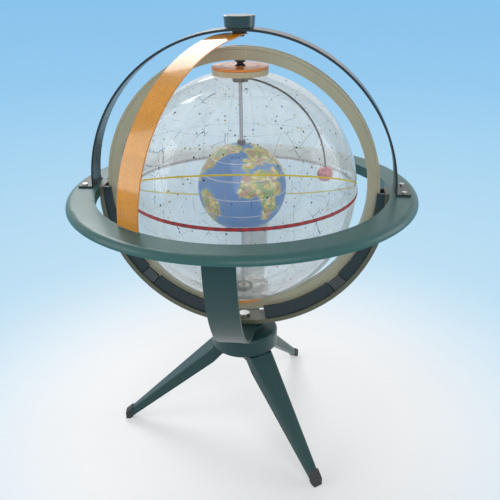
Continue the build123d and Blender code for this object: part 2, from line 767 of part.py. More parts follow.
# The Earth on its rod, turned by the south knob
with BuildPart() as axis_rod:
    with BuildSketch(Plane.XY.offset(horizon_height)):
        Circle(rod_radius)
    extrude(amount=rod_end, both=True)
export(axis_rod, "axis_rod")

with BuildPart() as earth_collars:
    with BuildSketch(Plane.XY.offset(horizon_height)):
        Circle(earth_collar_radius)
        Circle(rod_radius, mode=Mode.SUBTRACT)
    extrude(amount=earth_radius + earth_collar_height, both=True)
    with Locations(centre):
        Sphere(earth_radius, mode=Mode.SUBTRACT)
export(earth_collars, "earth_collars")

# The Sun on its wire, turned by the north knob through a sleeve round the rod
hub_face = neck_end - turn_gap
with BuildPart() as sun_sleeve:
    with BuildSketch(Plane.XY.offset(horizon_height + hub_face - sun_hub_height)):
        Circle(sleeve_radius)
        Circle(rod_radius + bore_gap, mode=Mode.SUBTRACT)
    extrude(amount=knob_bottom - hub_face + sun_hub_height)
export(sun_sleeve, "sun_sleeve")

sun_heading = (cos(radians(sun_azimuth)), sin(radians(sun_azimuth)), 0)
sun_across = (sin(radians(sun_azimuth)), -cos(radians(sun_azimuth)), 0)
sun_view = Plane(origin=centre, x_dir=sun_heading, z_dir=sun_across)
wire_start = (wire_root, hub_face - sun_hub_height / 2)
wire_finish = (sun_reach, sun_height)
fall = wire_start[1] - wire_finish[1]
run = wire_finish[0] - wire_start[0]
bow = wire_bow * hypot(run, fall)
wire_middle = (
    (wire_start[0] + wire_finish[0]) / 2 + bow * fall / hypot(run, fall),
    (wire_start[1] + wire_finish[1]) / 2 + bow * run / hypot(run, fall),
)
with BuildPart() as sun_arm:
    with BuildLine(sun_view) as wire_path:
        ThreePointArc(wire_start, wire_middle, wire_finish)
    with BuildSketch(Plane(origin=wire_path.line @ 0, z_dir=wire_path.line % 0)):
        Circle(wire_radius)
    sweep(path=wire_path.line)
export(sun_arm, "sun_arm")

with BuildPart() as sun_ball:
    with Locations(Location(sun_view.from_local_coords(wire_finish))):
        Sphere(sun_radius)
    add(sun_arm.part, mode=Mode.SUBTRACT)
export(sun_ball, "sun_ball")

with BuildPart() as sun_hub:
    with BuildSketch(Plane.XY.offset(horizon_height + hub_face)):
        Circle(sun_hub_radius)
        Circle(sleeve_radius, mode=Mode.SUBTRACT)
    extrude(amount=-sun_hub_height)
    add(sun_arm.part, mode=Mode.SUBTRACT)
export(sun_hub, "sun_hub")
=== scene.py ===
"""Dresses the clear celestial globe: enamelled stand, moulded rings, printed globe, Earth and Sun."""

import math

import bpy
import bmesh
from mathutils import Matrix, Vector


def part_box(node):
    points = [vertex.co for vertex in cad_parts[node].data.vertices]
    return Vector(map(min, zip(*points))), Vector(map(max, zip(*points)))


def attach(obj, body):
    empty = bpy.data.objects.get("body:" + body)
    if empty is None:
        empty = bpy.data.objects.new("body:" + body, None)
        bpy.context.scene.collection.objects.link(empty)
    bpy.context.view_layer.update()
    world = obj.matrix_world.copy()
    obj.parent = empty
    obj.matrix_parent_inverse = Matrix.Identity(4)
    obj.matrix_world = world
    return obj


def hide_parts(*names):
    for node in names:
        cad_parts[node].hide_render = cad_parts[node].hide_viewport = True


bl_info = {
    "name": "Celestial globe dressing",
    "version": (1, 0, 0),
    "blender": (4, 5, 0),
    "location": "View3D > Sidebar > Globe",
    "description": "Materials, printed map, hour numbers and studio for a clear celestial globe",
    "category": "Object",
}

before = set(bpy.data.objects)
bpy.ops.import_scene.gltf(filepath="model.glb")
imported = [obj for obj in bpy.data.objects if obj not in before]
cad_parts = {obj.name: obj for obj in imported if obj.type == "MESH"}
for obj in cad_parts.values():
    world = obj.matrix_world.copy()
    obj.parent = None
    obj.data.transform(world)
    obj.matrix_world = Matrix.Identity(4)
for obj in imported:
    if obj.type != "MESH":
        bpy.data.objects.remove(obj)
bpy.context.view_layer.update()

ring_low, ring_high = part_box("horizon_ring")
sphere_low, sphere_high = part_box("north_hemisphere")
earth_low, earth_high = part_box("north_earth_half")
sun_low, sun_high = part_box("sun_ball")
dial_low, dial_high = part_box("north_hour_dial")
RING_WIDTH = 0.037
GLOBE_CENTRE = Vector((0.0, 0.0, sphere_low.z))
GLOBE_RADIUS = sphere_high.x
EARTH_RADIUS = earth_high.x
SUN_CENTRE = (sun_low + sun_high) / 2

# Walls and pole holes of the two hollow balls, in metres.
GLOBE_WALL = 0.002
GLOBE_HOLE = 0.008
EARTH_WALL = 0.0016
EARTH_HOLE = 0.0025

# Hour numbers and graduation on the dials, in metres.
HOUR_CIRCLE = 0.0235
HOUR_HEIGHT = 0.0052
INK_THICKNESS = 0.00006
HOURS = 24

# Name, place, power and size of each lamp.
LAMPS = (
    ("front_softbox", (0.55, -1.5, 1.25), 9.0, (1.3, 1.0)),
    ("left_softbox", (-1.5, -0.55, 0.9), 7.0, (0.9, 1.1)),
    ("back_panel", (-0.62, 1.10, 1.28), 13.0, (0.95, 0.75)),
    ("right_fill", (1.45, 0.3, 0.7), 4.0, (0.8, 0.9)),
)
FLOOR_REACH = 60.0
SENSOR_WIDTH = 36.0
PICTURE_WIDTH = 500.0


class Recipe:
    """A material with its node tree, and short ways to add nodes to it."""

    def __init__(self, name):
        self.material = bpy.data.materials.new(name)
        self.material.use_nodes = True
        self.tree = self.material.node_tree
        self.tree.nodes.clear()
        self.output = self.tree.nodes.new("ShaderNodeOutputMaterial")

    def add(self, kind, **settings):
        node = self.tree.nodes.new(kind)
        for name, value in settings.items():
            setattr(node, name, value)
        return node

    def feed(self, socket, value):
        if isinstance(value, bpy.types.NodeSocket):
            self.tree.links.new(value, socket)
        elif value is not None:
            socket.default_value = value

    def math(self, operation, first, second=None, third=None, clamp=False):
        node = self.add("ShaderNodeMath", operation=operation, use_clamp=clamp)
        for socket, value in zip(node.inputs, (first, second, third)):
            self.feed(socket, value)
        return node.outputs[0]

    def vector(self, operation, first, second=None, scale=None):
        node = self.add("ShaderNodeVectorMath", operation=operation)
        self.feed(node.inputs[0], first)
        self.feed(node.inputs[1], second)
        if scale is not None:
            self.feed(node.inputs["Scale"], scale)
        if operation in ("DOT_PRODUCT", "LENGTH", "DISTANCE"):
            return node.outputs["Value"]
        return node.outputs[0]

    def split(self, vector):
        node = self.add("ShaderNodeSeparateXYZ")
        self.feed(node.inputs[0], vector)
        return node.outputs

    def join(self, across, along, up):
        node = self.add("ShaderNodeCombineXYZ")
        for socket, value in zip(node.inputs, (across, along, up)):
            self.feed(socket, value)
        return node.outputs[0]

    def place(self):
        return self.add("ShaderNodeTexCoord").outputs["Object"]

    def from_centre(self, centre):
        return self.vector("SUBTRACT", self.place(), tuple(centre))

    def noise(self, where, scale, detail=3.0, roughness=0.55, colour=False):
        node = self.add("ShaderNodeTexNoise")
        self.feed(node.inputs["Vector"], where)
        self.feed(node.inputs["Scale"], scale)
        self.feed(node.inputs["Detail"], detail)
        self.feed(node.inputs["Roughness"], roughness)
        return node.outputs["Color" if colour else "Fac"]

    def cells(self, where, scale, feature="F1", randomness=1.0):
        node = self.add("ShaderNodeTexVoronoi", feature=feature)
        self.feed(node.inputs["Vector"], where)
        self.feed(node.inputs["Scale"], scale)
        self.feed(node.inputs["Randomness"], randomness)
        return node

    def fade(self, value, start, end, low=0.0, high=1.0):
        node = self.add("ShaderNodeMapRange", interpolation_type="SMOOTHSTEP")
        for socket, item in zip(node.inputs, (value, start, end, low, high)):
            self.feed(socket, item)
        return node.outputs[0]

    def blend(self, share, first, second):
        node = self.add("ShaderNodeMix", data_type="RGBA")
        self.feed(node.inputs["Factor"], share)
        self.feed(node.inputs["A"], first)
        self.feed(node.inputs["B"], second)
        return node.outputs["Result"]

    def ramp(self, value, stops):
        node = self.add("ShaderNodeValToRGB")
        self.feed(node.inputs[0], value)
        marks = node.color_ramp.elements
        while len(marks) < len(stops):
            marks.new(1.0)
        for mark, (place, colour) in zip(marks, stops):
            mark.position = place
            mark.color = colour
        return node.outputs[0]

    def any_of(self, *masks):
        total = masks[0]
        for mask in masks[1:]:
            total = self.math("MAXIMUM", total, mask)
        return total

    def bump(self, height, distance, strength=0.5, under=None):
        node = self.add("ShaderNodeBump")
        self.feed(node.inputs["Height"], height)
        node.inputs["Distance"].default_value = distance
        node.inputs["Strength"].default_value = strength
        if under is not None:
            self.feed(node.inputs["Normal"], under)
        return node.outputs[0]

    def worn_edges(self, radius, low=0.02, high=0.25):
        """Mask of the sharp edges, found by comparing the surface with a rounded copy of itself."""
        rounded = self.add("ShaderNodeBevel", samples=4)
        rounded.inputs["Radius"].default_value = radius
        geometry = self.add("ShaderNodeNewGeometry")
        same = self.vector("DOT_PRODUCT", rounded.outputs[0], geometry.outputs["Normal"])
        return self.fade(self.math("SUBTRACT", 1.0, same), low, high)

    def mixed(self, share, first, second):
        """Two surfaces mixed; a share of 1 gives the second."""
        node = self.add("ShaderNodeMixShader")
        self.feed(node.inputs["Fac"], share)
        self.feed(node.inputs[1], first)
        self.feed(node.inputs[2], second)
        return node.outputs[0]

    def see_through(self, colour):
        """Light that passes through a thin sheet and is scattered."""
        node = self.add("ShaderNodeBsdfTranslucent")
        self.feed(node.inputs["Color"], colour)
        return node.outputs[0]

    def finish(self, shader):
        self.tree.links.new(shader, self.output.inputs["Surface"])
        return self.material

    def surface(self, colour, roughness, normal=None, **fixed):
        """Principled surface; fixed holds uniform values for its own sockets."""
        shader = self.add("ShaderNodeBsdfPrincipled")
        self.feed(shader.inputs["Base Color"], colour)
        self.feed(shader.inputs["Roughness"], roughness)
        if normal is not None:
            self.feed(shader.inputs["Normal"], normal)
        for name, value in fixed.items():
            shader.inputs[name.replace("_", " ")].default_value = value
        return shader.outputs[0]


def rgba(red, green, blue):
    return (red, green, blue, 1.0)


def shade(colour, factor):
    return (*(min(part * factor, 1.0) for part in colour[:3]), 1.0)


def enamel(name, colour, roughness=0.38, wear=0.0006, edge_wear_and_highlight=1.9, orange_peel=0.00006, ticks=None):
    """Stoved enamel on metal: faint cloudiness, dust in the grain, paint thinned along the edges, which are
    lightened partly as wear and partly as a painted highlight.
    """
    recipe = Recipe(name)
    where = recipe.place()
    cloud = recipe.noise(where, 14.0, 4.0)
    grain = recipe.noise(where, 900.0, 2.0)
    body = recipe.blend(cloud, shade(colour, 0.86), shade(colour, 1.14))
    body = recipe.blend(recipe.fade(grain, 0.62, 0.8, 0.0, 0.35), body, shade(colour, 0.6))
    edges = recipe.worn_edges(wear)
    rubbed = recipe.fade(recipe.noise(where, 60.0, 5.0), 0.3, 0.65, 0.35, 1.0)
    worn_and_highlit_edges = recipe.math("MULTIPLY", edges, rubbed)
    # Edges lightened by the edge factor: partly patchy wear, partly a painted highlight along the edges.
    body = recipe.blend(worn_and_highlit_edges, body, shade(colour, edge_wear_and_highlight))
    if ticks:
        body = recipe.blend(ticks(recipe), body, shade(colour, 0.45))
    scuffs = recipe.noise(recipe.vector("MULTIPLY", where, (30.0, 30.0, 220.0)), 1.0, 6.0)
    rough = recipe.math("ADD", roughness - 0.07, recipe.math("MULTIPLY", scuffs, 0.16))
    height = recipe.math("ADD", recipe.noise(where, 420.0, 2.0), recipe.math("MULTIPLY", grain, 0.4))
    normal = recipe.bump(height, orange_peel, 0.4)
    return recipe.finish(recipe.surface(body, rough, normal, Coat_Weight=0.12, Coat_Roughness=0.15,
                                        Specular_IOR_Level=0.3))


def ring_ticks(inner, outer, every, width):
    """Radial graduation marks on a flat ring, between two radii round the upright axis."""

    def marks(recipe):
        across, along, up = recipe.split(recipe.place())
        squares = recipe.math("ADD", recipe.math("POWER", across, 2.0), recipe.math("POWER", along, 2.0))
        out = recipe.math("SQRT", squares)
        turn = recipe.math("DIVIDE", recipe.math("ARCTAN2", along, across), math.radians(every))
        near = recipe.math("ABSOLUTE", recipe.math("SUBTRACT", recipe.math("FRACT", turn), 0.5))
        line = recipe.math("GREATER_THAN", near, 0.5 - width / (2 * math.radians(every) * inner))
        long_turn = recipe.math("DIVIDE", turn, 5.0)
        long_share = recipe.math("SUBTRACT", recipe.math("FRACT", long_turn), 0.5)
        long_near = recipe.math("ABSOLUTE", long_share)
        longer = recipe.math("GREATER_THAN", long_near, 0.48)
        span = outer - inner
        reach = recipe.math("ADD", inner + span * 0.55, recipe.math("MULTIPLY", longer, span * 0.45))
        past_inner = recipe.math("GREATER_THAN", out, inner)
        band = recipe.math("MULTIPLY", past_inner, recipe.math("LESS_THAN", out, reach))
        return recipe.math("MULTIPLY", recipe.math("MULTIPLY", line, band), 0.6)

    return marks


def moulded(name, colour, roughness=0.42, fleck=0.12, edge_wear_and_highlight=1.25, wear=0.0005, coat=0.0,
            ticks=None):
    """Moulded plastic: soft cloudiness, a fine skin, paler edges that are partly rubbed wear and partly a
    painted highlight.
    """
    recipe = Recipe(name)
    where = recipe.place()
    cloud = recipe.noise(where, 22.0, 5.0, 0.6)
    body = recipe.blend(cloud, shade(colour, 1.0 - fleck), shade(colour, 1.0 + fleck))
    # Edges lightened by the edge factor: partly rubbed wear, partly a painted highlight along the edges.
    body = recipe.blend(recipe.worn_edges(wear), body, shade(colour, edge_wear_and_highlight))
    if ticks:
        body = recipe.blend(ticks(recipe), body, shade(colour, 0.35))
    skin = recipe.noise(where, 1100.0, 2.0)
    uneven = recipe.math("MULTIPLY", recipe.noise(where, 45.0, 6.0), 0.14)
    rough = recipe.math("ADD", roughness - 0.06, uneven)
    normal = recipe.bump(skin, 0.00004, 0.35)
    return recipe.finish(recipe.surface(body, rough, normal, Coat_Weight=coat, Coat_Roughness=0.08))


def bare_steel(name, colour=(0.60, 0.60, 0.58), roughness=0.28):
    """Bare steel with a fine brushed grain."""
    recipe = Recipe(name)
    where = recipe.place()
    brushed = recipe.noise(recipe.vector("MULTIPLY", where, (900.0, 900.0, 60.0)), 1.0, 3.0)
    tint = recipe.blend(recipe.noise(where, 40.0, 4.0), shade(colour, 0.82), shade(colour, 1.08))
    rough = recipe.math("ADD", roughness - 0.08, recipe.math("MULTIPLY", brushed, 0.2))
    return recipe.finish(recipe.surface(tint, rough, recipe.bump(brushed, 0.00003, 0.3), Metallic=1.0))


def rubber(name):
    """Dark rubber with dust on it."""
    recipe = Recipe(name)
    where = recipe.place()
    dust = recipe.fade(recipe.noise(where, 70.0, 6.0, 0.65), 0.5, 0.75, 0.0, 0.5)
    body = recipe.blend(dust, rgba(0.022, 0.024, 0.024), rgba(0.075, 0.075, 0.07))
    rough = recipe.math("ADD", 0.6, recipe.math("MULTIPLY", dust, 0.3))
    normal = recipe.bump(recipe.noise(where, 1500.0, 2.0), 0.00005, 0.5)
    return recipe.finish(recipe.surface(body, rough, normal))


def amber_sheet(name, choice):
    """Translucent amber plastic with a mottled grain and a red-orange cut edge."""
    recipe = Recipe(name)
    where = recipe.place()
    mottle = recipe.noise(where, 520.0, 4.0, 0.65)
    patch = recipe.noise(where, 34.0, 4.0)
    colour = choice.amber
    body = recipe.blend(recipe.fade(mottle, 0.36, 0.64), shade(colour, 0.86), shade(colour, 1.14))
    body = recipe.blend(recipe.fade(patch, 0.38, 0.66, 0.0, 0.5), body, shade(colour, 0.8))
    edges = recipe.worn_edges(0.0011, 0.015, 0.16)
    body = recipe.blend(edges, body, rgba(0.52, 0.075, 0.008))
    rough = recipe.math("ADD", 0.1, recipe.math("MULTIPLY", mottle, 0.12))
    normal = recipe.bump(mottle, 0.00005, 0.35)
    shader = recipe.surface(body, rough, normal, Coat_Weight=0.6, Coat_Roughness=0.04)
    return recipe.finish(recipe.mixed(0.3, shader, recipe.see_through(body)))


def great_circle(recipe, direction, pole, half_width):
    """Mask of a line along the great circle round a pole; the half width is a share of the radius."""
    off = recipe.math("ABSOLUTE", recipe.vector("DOT_PRODUCT", direction, tuple(pole)))
    return recipe.fade(off, half_width, half_width * 1.5, 1.0, 0.0)


def ecliptic_pole():
    """Direction square to the Sun's yearly path as printed on the globe."""
    tilt = math.radians(23.4)
    facing = math.radians(-84.0)
    level = math.sin(tilt)
    return Vector((-math.cos(facing) * level, -math.sin(facing) * level, math.cos(tilt)))


def printed_globe(name, choice):
    """Clear plastic with a star map printed outside: circles, ecliptic, stars, figures and a pale band."""
    recipe = Recipe(name)
    offset = recipe.from_centre(GLOBE_CENTRE)
    direction = recipe.vector("NORMALIZE", offset)
    outside = recipe.math("GREATER_THAN", recipe.vector("LENGTH", offset), GLOBE_RADIUS - 0.0006)
    across, along, up = recipe.split(direction)
    latitude = recipe.math("ARCSINE", up)
    longitude = recipe.math("ARCTAN2", along, across)
    square = recipe.math("SUBTRACT", 1.0, recipe.math("POWER", up, 2.0))
    shrink = recipe.math("SQRT", recipe.math("MAXIMUM", square, 0.0001))

    def off_line(value, step):
        """Angle to the nearest of the lines that repeat every so many degrees."""
        count = recipe.math("DIVIDE", value, math.radians(step))
        turn = recipe.math("FRACT", recipe.math("ADD", count, 0.5))
        share = recipe.math("ABSOLUTE", recipe.math("SUBTRACT", turn, 0.5))
        return recipe.math("MULTIPLY", share, math.radians(step))

    parallels = recipe.fade(off_line(latitude, 20.0), 0.0018, 0.0034, 1.0, 0.0)
    meridians = recipe.math("MULTIPLY", off_line(longitude, 30.0), shrink)
    meridians = recipe.fade(meridians, 0.0018, 0.0034, 1.0, 0.0)
    short_of_pole = recipe.math("LESS_THAN", recipe.math("ABSOLUTE", latitude), math.radians(81.0))
    meridians = recipe.math("MULTIPLY", meridians, short_of_pole)
    circles = recipe.math("MULTIPLY", recipe.any_of(parallels, meridians), 0.5)

    pole = ecliptic_pole()
    ecliptic = great_circle(recipe, direction, pole, 0.0052)
    figures = recipe.cells(direction, 4.6, "DISTANCE_TO_EDGE")
    gate = recipe.fade(recipe.noise(direction, 3.2, 2.0), 0.57, 0.6)
    lines = recipe.fade(figures.outputs["Distance"], 0.008, 0.016, 1.0, 0.0)
    lines = recipe.math("MULTIPLY", lines, gate)

    def stars(scale, size, share):
        spots = recipe.cells(direction, scale)
        separate = recipe.add("ShaderNodeSeparateColor")
        recipe.feed(separate.inputs[0], spots.outputs["Color"])
        pick = separate.outputs
        kept = recipe.math("LESS_THAN", pick[0], share)
        spread = recipe.math("ADD", 0.55, recipe.math("MULTIPLY", pick[1], 0.75))
        radius = recipe.math("MULTIPLY", size, spread)
        dot = recipe.math("LESS_THAN", spots.outputs["Distance"], radius)
        return recipe.math("MULTIPLY", dot, kept), pick[2]

    large, large_tone = stars(11.0, 0.105, 0.5)
    small, small_tone = stars(24.0, 0.17, 0.42)
    river_pole = Vector((0.55, -0.42, 0.72)).normalized()
    milky = recipe.math("ABSOLUTE", recipe.vector("DOT_PRODUCT", direction, tuple(river_pole)))
    swing = recipe.math("SUBTRACT", recipe.noise(direction, 5.0, 6.0, 0.62), 0.5)
    ragged = recipe.math("ADD", milky, recipe.math("MULTIPLY", swing, 0.42))
    river = recipe.fade(ragged, 0.10, 0.17, 1.0, 0.0)

    haze = recipe.noise(direction, 7.0, 6.0, 0.7)
    film = recipe.math("ADD", choice.haze * 0.7, recipe.math("MULTIPLY", haze, choice.haze * 0.6))
    # The film is stronger where it is seen from inside, so the Earth stays clear behind the near half.
    from_behind = recipe.add("ShaderNodeNewGeometry").outputs["Backfacing"]
    strength = recipe.math("ADD", 0.45, recipe.math("MULTIPLY", from_behind, 1.4))
    film = recipe.math("MULTIPLY", film, strength)
    ink = rgba(0.03, 0.03, 0.03)
    olive = rgba(0.62, 0.50, 0.06)
    colour = recipe.blend(haze, rgba(0.84, 0.84, 0.83), rgba(0.96, 0.96, 0.95))
    colour = recipe.blend(river, colour, rgba(0.90, 0.90, 0.86))
    colour = recipe.blend(circles, colour, rgba(0.30, 0.31, 0.34))
    colour = recipe.blend(lines, colour, rgba(0.16, 0.15, 0.16))
    star_ink = recipe.blend(recipe.math("GREATER_THAN", large_tone, 0.45), ink, olive)
    colour = recipe.blend(large, colour, star_ink)
    small_ink = recipe.blend(recipe.math("GREATER_THAN", small_tone, 0.62), ink, olive)
    colour = recipe.blend(small, colour, small_ink)
    colour = recipe.blend(ecliptic, colour, rgba(0.72, 0.56, 0.03))
    print_cover = recipe.any_of(
        recipe.math("MULTIPLY", river, 0.26),
        recipe.math("MULTIPLY", circles, 0.75),
        recipe.math("MULTIPLY", lines, 0.4),
        recipe.math("MULTIPLY", large, 0.92),
        recipe.math("MULTIPLY", small, 0.85),
        ecliptic,
    )
    cover = recipe.math("MULTIPLY", recipe.any_of(film, print_cover), outside)

    scratches = recipe.noise(recipe.vector("MULTIPLY", direction, (3.0, 3.0, 40.0)), 3.0, 8.0, 0.7)
    wave = recipe.bump(recipe.noise(direction, 4.0, 2.0), 0.0006, 0.12)
    normal = recipe.bump(scratches, 0.00003, 0.15, wave)
    ink_rough = recipe.math("ADD", 0.3, recipe.math("MULTIPLY", haze, 0.2))
    ink_layer = recipe.surface(colour, ink_rough, normal)
    printed = recipe.mixed(0.5, ink_layer, recipe.see_through(colour))
    clear = recipe.add("ShaderNodeBsdfTransparent")
    clear.inputs["Color"].default_value = rgba(0.975, 0.985, 0.985)
    gloss = recipe.add("ShaderNodeBsdfGlossy")
    gloss.inputs["Color"].default_value = rgba(1.0, 1.0, 1.0)
    recipe.feed(gloss.inputs["Roughness"], recipe.math("ADD", 0.03, recipe.math("MULTIPLY", haze, 0.05)))
    recipe.feed(gloss.inputs["Normal"], normal)
    sheen = recipe.add("ShaderNodeFresnel")
    sheen.inputs["IOR"].default_value = 1.46
    recipe.feed(sheen.inputs["Normal"], wave)
    facing = recipe.math("SUBTRACT", 1.0, from_behind)
    shine = recipe.math("MULTIPLY", sheen.outputs[0], facing)
    pane = recipe.mixed(shine, clear.outputs[0], gloss.outputs[0])
    return recipe.finish(recipe.mixed(cover, pane, printed))


def tape(name):
    """Equator tape: dark red with black dashes on the outside, pale on the glued side."""
    recipe = Recipe(name)
    offset = recipe.from_centre(GLOBE_CENTRE)
    across, along, up = recipe.split(offset)
    outside = recipe.math("GREATER_THAN", recipe.vector("LENGTH", offset), GLOBE_RADIUS + 0.0004)
    longitude = recipe.math("ARCTAN2", along, across)
    turn = recipe.math("FRACT", recipe.math("DIVIDE", longitude, math.radians(5.0)))
    dash = recipe.math("LESS_THAN", turn, 0.5)
    middle = recipe.math("GREATER_THAN", recipe.math("ABSOLUTE", up), 0.0011)
    wear = recipe.noise(offset, 120.0, 5.0)
    red = recipe.blend(wear, rgba(0.30, 0.02, 0.03), rgba(0.50, 0.05, 0.05))
    body = recipe.blend(recipe.math("MULTIPLY", dash, middle), red, rgba(0.04, 0.02, 0.02))
    body = recipe.blend(outside, rgba(0.80, 0.72, 0.70), body)
    rough = recipe.math("ADD", 0.35, recipe.math("MULTIPLY", wear, 0.2))
    return recipe.finish(recipe.surface(body, rough, recipe.bump(wear, 0.00004, 0.3)))


# Round patches of land: degrees east, degrees north and radius in degrees.
LAND_PATCHES = (
    (-103, 50, 20), (-88, 42, 17), (-115, 62, 16), (-75, 58, 13), (-100, 26, 9), (-88, 15, 5), (-42, 73, 12),
    (-62, -4, 15), (-53, -12, 14), (-64, -26, 11), (-69, -40, 7), (-71, -50, 4),
    (5, 20, 15), (22, 20, 16), (-5, 12, 10), (24, 2, 13), (27, -14, 12), (24, -27, 8), (42, 8, 8), (47, -19, 4),
    (10, 47, 8), (25, 52, 11), (-4, 40, 5), (-3, 53, 4), (18, 64, 9), (45, 55, 14), (45, 27, 9),
    (70, 55, 18), (95, 60, 20), (125, 62, 18), (78, 24, 10), (80, 34, 11), (103, 33, 14), (105, 18, 7),
    (112, 46, 13), (155, 64, 9), (134, -25, 13), (122, -26, 8), (145, -25, 8), (112, 0, 5), (0, -90, 17),
)


def printed_earth(name, choice):
    """Printed map on the Earth: blue oceans with pale contour bands, and land in patches of map colours."""
    recipe = Recipe(name)
    offset = recipe.from_centre(GLOBE_CENTRE)
    direction = recipe.vector("NORMALIZE", offset)
    warp = recipe.noise(direction, 3.6, 6.0, 0.62, colour=True)
    warp = recipe.vector("SCALE", recipe.vector("SUBTRACT", warp, (0.5, 0.5, 0.5)), scale=0.34)
    bent = recipe.vector("NORMALIZE", recipe.vector("ADD", direction, warp))
    land = None
    for east, north, size in LAND_PATCHES:
        turn = math.radians(east + choice.earth_turn)
        rise = math.radians(north)
        spot = (math.cos(rise) * math.cos(turn), math.cos(rise) * math.sin(turn), math.sin(rise))
        rim = math.cos(math.radians(size))
        near = recipe.math("SUBTRACT", recipe.vector("DOT_PRODUCT", bent, spot), rim)
        scaled = recipe.math("DIVIDE", near, 1.0 - rim)
        land = scaled if land is None else recipe.math("MAXIMUM", land, scaled)
    shore = recipe.fade(land, -0.015, 0.015)
    shelf = recipe.fade(land, -0.5, 0.0)
    deep = recipe.blend(recipe.noise(direction, 5.0, 4.0), rgba(0.008, 0.13, 0.46), rgba(0.02, 0.24, 0.62))
    sea = recipe.blend(recipe.math("MULTIPLY", shelf, 0.5), deep, rgba(0.10, 0.45, 0.72))
    states = recipe.cells(bent, 10.0)
    picker = recipe.add("ShaderNodeSeparateColor")
    recipe.feed(picker.inputs[0], states.outputs["Color"])
    map_colour = recipe.ramp(
        picker.outputs[0],
        [(0.0, rgba(0.66, 0.56, 0.08)), (0.3, rgba(0.22, 0.42, 0.12)), (0.52, rgba(0.86, 0.72, 0.30)),
         (0.7, rgba(0.62, 0.27, 0.20)), (0.85, rgba(0.46, 0.32, 0.13)), (1.0, rgba(0.10, 0.40, 0.30))],
    )
    map_colour.node.color_ramp.interpolation = "CONSTANT"
    relief = recipe.noise(direction, 26.0, 6.0, 0.7)
    ground = recipe.blend(recipe.fade(relief, 0.45, 0.7, 0.0, 0.6), map_colour, rgba(0.34, 0.22, 0.09))
    borders = recipe.cells(bent, 10.0, "DISTANCE_TO_EDGE")
    border = recipe.fade(borders.outputs["Distance"], 0.012, 0.03, 0.65, 0.0)
    ground = recipe.blend(border, ground, rgba(0.10, 0.07, 0.05))
    colour = recipe.blend(shore, sea, ground)
    coast = recipe.fade(recipe.math("ABSOLUTE", land), 0.012, 0.03, 0.7, 0.0)
    colour = recipe.blend(coast, colour, rgba(0.05, 0.08, 0.12))
    across, along, up = recipe.split(direction)
    latitude = recipe.math("ARCSINE", up)
    count = recipe.math("DIVIDE", latitude, math.radians(23.4))
    turn = recipe.math("FRACT", recipe.math("ADD", count, 0.5))
    off = recipe.math("ABSOLUTE", recipe.math("SUBTRACT", turn, 0.5))
    tropics = recipe.fade(off, 0.018, 0.035, 0.55, 0.0)
    colour = recipe.blend(tropics, colour, rgba(0.80, 0.76, 0.74))
    rough = recipe.math("ADD", 0.3, recipe.math("MULTIPLY", relief, 0.25))
    raised = recipe.math("MULTIPLY", shore, recipe.math("ADD", 0.3, relief))
    return recipe.finish(recipe.surface(colour, rough, recipe.bump(raised, 0.0003, 0.5)))


def painted_sun(name):
    """Red paint, mottled, with the seam of the two moulded halves."""
    recipe = Recipe(name)
    offset = recipe.from_centre(SUN_CENTRE)
    mottle = recipe.noise(offset, 130.0, 5.0, 0.65)
    colour = recipe.ramp(
        mottle,
        [(0.3, rgba(0.30, 0.01, 0.03)), (0.5, rgba(0.56, 0.03, 0.06)), (0.72, rgba(0.76, 0.14, 0.16))],
    )
    seam = recipe.fade(recipe.math("ABSOLUTE", recipe.split(offset)[2]), 0.0002, 0.0005, 0.6, 0.0)
    colour = recipe.blend(seam, colour, rgba(0.18, 0.02, 0.04))
    rough = recipe.math("ADD", 0.22, recipe.math("MULTIPLY", mottle, 0.2))
    return recipe.finish(recipe.surface(colour, rough, recipe.bump(mottle, 0.0001, 0.3), Coat_Weight=0.4))


def shaded_smooth(mesh, angle=30.0):
    """Smooth shading that keeps edges sharper than the angle in degrees."""
    mesh.shade_smooth()
    mesh.set_sharp_from_angle(angle=math.radians(angle))


def turned(name, profile, centre, steps=192):
    """Closed mesh turned round the upright axis through centre from (radius, height) points."""
    work = bmesh.new()
    rings = []
    for step in range(steps):
        angle = 2 * math.pi * step / steps
        ahead, aside = math.cos(angle), math.sin(angle)
        rings.append([
            work.verts.new((centre.x + out * ahead, centre.y + out * aside, centre.z + up))
            for out, up in profile
        ])
    for step in range(steps):
        here, there = rings[step], rings[(step + 1) % steps]
        for point in range(len(profile)):
            after = (point + 1) % len(profile)
            work.faces.new((here[point], there[point], there[after], here[after]))
    bmesh.ops.recalc_face_normals(work, faces=work.faces)
    mesh = bpy.data.meshes.new(name)
    work.to_mesh(mesh)
    work.free()
    shaded_smooth(mesh)
    piece = bpy.data.objects.new(name, mesh)
    bpy.context.collection.objects.link(piece)
    return piece


def half_shell(name, outer, inner, hole, side, steps=192, rows=48):
    """Half of a hollow ball with a round hole at its pole."""
    profile = []
    for radius, order in ((outer, 1), (inner, -1)):
        top = math.acos(hole / radius)
        turns = [top * row / rows for row in range(rows + 1)]
        for turn in turns[::order]:
            profile.append((radius * math.cos(turn), side * radius * math.sin(turn)))
    return turned(name, profile, GLOBE_CENTRE, steps)


def coat_nodes(material, *names):
    """Gives the named solids one material."""
    for name in names:
        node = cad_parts[name]
        node.data.materials.clear()
        node.data.materials.append(material)


def look():
    return bpy.context.scene.globe_look


def studio():
    return bpy.context.scene.globe_studio


